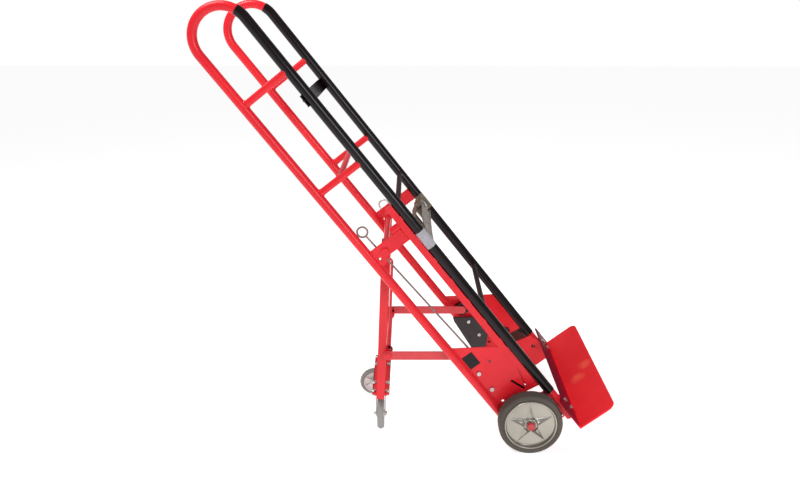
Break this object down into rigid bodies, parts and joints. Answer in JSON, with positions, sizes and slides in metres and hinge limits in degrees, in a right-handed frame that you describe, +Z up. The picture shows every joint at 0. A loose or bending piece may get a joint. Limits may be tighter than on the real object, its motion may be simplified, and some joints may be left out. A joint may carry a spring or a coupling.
{
  "type": "appliance hand truck",
  "caption": "Appliance hand truck with looped side frames, toe plate, large wheels and a folding swivel-caster carriage.",
  "frame": {"origin": "middle of the truck's width and length at floor level, standing on its wheels and casters", "axes": "+Z up, +X to the truck's right, -Y towards the toe plate and the load, +Y towards the handles and casters"},
  "size_m": [0.613, 1.2703, 1.391],
  "materials": {
    "red_paint": "gloss red paint on steel",
    "black_paint": "gloss black coating",
    "black_plastic": "black low-friction plastic",
    "zinc": "zinc plated steel",
    "webbing": "woven webbing",
    "tyre_rubber": "dark solid rubber",
    "grey_rubber": "grey solid rubber",
    "caster_core": "cast core"
  },
  "bodies": {
    "chassis": {"left_frame_tube": "red_paint", "right_frame_tube": "red_paint", "upper_struts": "red_paint", "middle_struts": "red_paint", "middle_cross_tube": "red_paint", "left_pivot_plate": "red_paint", "right_pivot_plate": "red_paint", "pivot_spacers": "red_paint", "left_guide_bar": "red_paint", "pivot_strut": "red_paint", "pivot_shaft": "red_paint", "left_side_plate": "red_paint", "right_side_plate": "red_paint", "toe_plate": "red_paint", "toe_brackets": "red_paint", "left_axle_cap": "red_paint", "right_axle_cap": "red_paint", "left_upper_sleeve": "black_paint", "left_lower_sleeve": "black_paint", "right_upper_sleeve": "black_paint", "right_lower_sleeve": "black_paint", "back_strap": "black_paint", "back_bars": "black_paint", "left_saddle": "black_paint", "right_saddle": "black_paint", "left_stair_glide": "black_plastic", "right_stair_glide": "black_plastic", "back_strap_bolts": "zinc", "toe_bolts": "zinc", "axle": "zinc", "axle_spacers": "zinc", "glide_bolts": "zinc", "hook_loop": "zinc", "ratchet_frame": "zinc", "strap_left": "webbing", "strap_right": "webbing"},
    "left_wheel": {"left_tyre": "tyre_rubber", "left_hub": "zinc"},
    "right_wheel": {"right_tyre": "tyre_rubber", "right_hub": "zinc"},
    "carriage": {"left_leg": "red_paint", "right_leg": "red_paint", "caster_beam": "red_paint", "brace_shaft": "red_paint", "brace_nuts": "zinc", "pull_rod": "red_paint", "caster_plates": "zinc", "caster_bolts": "zinc"},
    "brace_pair": {"braces": "red_paint"},
    "lock_rod": {"control_rod": "zinc"},
    "left_caster": {"left_caster_fork": "zinc", "left_caster_axle": "zinc"},
    "right_caster": {"right_caster_fork": "zinc", "right_caster_axle": "zinc"},
    "left_caster_wheel": {"left_caster_tread": "grey_rubber", "left_caster_core": "caster_core"},
    "right_caster_wheel": {"right_caster_tread": "grey_rubber", "right_caster_core": "caster_core"},
    "ratchet_lever": {"ratchet_handle": "zinc"},
    "ratchet_roll": {"ratchet_spool": "webbing"}
  },
  "joints": [
    {"name": "left_wheel_roll", "type": "hinge", "parent": "chassis", "child": "left_wheel", "pos_m": [-0.2683, -0.37931, 0.1016], "axis": [1, 0, 0], "continuous": true},
    {"name": "right_wheel_roll", "type": "hinge", "parent": "chassis", "child": "right_wheel", "pos_m": [0.2683, -0.37931, 0.1016], "axis": [1, 0, 0], "continuous": true},
    {"name": "carriage_fold", "type": "hinge", "parent": "chassis", "child": "carriage", "pos_m": [0, 0.08027, 0.6561], "axis": [-1, 0, 0], "range_deg": [0, 40]},
    {"name": "brace_fold", "type": "hinge", "parent": "carriage", "child": "brace_pair", "pos_m": [0, 0.07369, 0.292], "axis": [1, 0, 0], "range_deg": [0, 99]},
    {"name": "left_caster_swivel", "type": "hinge", "parent": "carriage", "child": "left_caster", "pos_m": [-0.0985, 0.10069, 0.11], "axis": [0, 0, 1], "continuous": true},
    {"name": "right_caster_swivel", "type": "hinge", "parent": "carriage", "child": "right_caster", "pos_m": [0.0985, 0.10069, 0.11], "axis": [0, 0, 1], "continuous": true},
    {"name": "left_caster_roll", "type": "hinge", "parent": "left_caster", "child": "left_caster_wheel", "pos_m": [-0.1315, 0.10069, 0.0508], "axis": [0, 1, 0], "continuous": true},
    {"name": "right_caster_roll", "type": "hinge", "parent": "right_caster", "child": "right_caster_wheel", "pos_m": [0.09505, 0.1335, 0.0508], "axis": [0.9945, 0.1045, 0], "continuous": true},
    {"name": "lock_rod_turn", "type": "hinge", "parent": "chassis", "child": "lock_rod", "pos_m": [-0.2014, -0.21518, 0.28926], "axis": [0, 0.654, 0.7565], "range_deg": [0, 160]},
    {"name": "ratchet_lever_swing", "type": "hinge", "parent": "chassis", "child": "ratchet_lever", "pos_m": [0.09, -0.0382, 0.69487], "axis": [0, -0.6198, -0.7848], "range_deg": [0, 100]},
    {"name": "ratchet_roll_turn", "type": "hinge", "parent": "chassis", "child": "ratchet_roll", "pos_m": [0.09, -0.0382, 0.69487], "axis": [0, 0.6198, 0.7848], "continuous": true}
  ],
  "couplings": [
    {"joint": "brace_fold", "follows": "carriage_fold", "ratio": 2.4727}
  ]
}
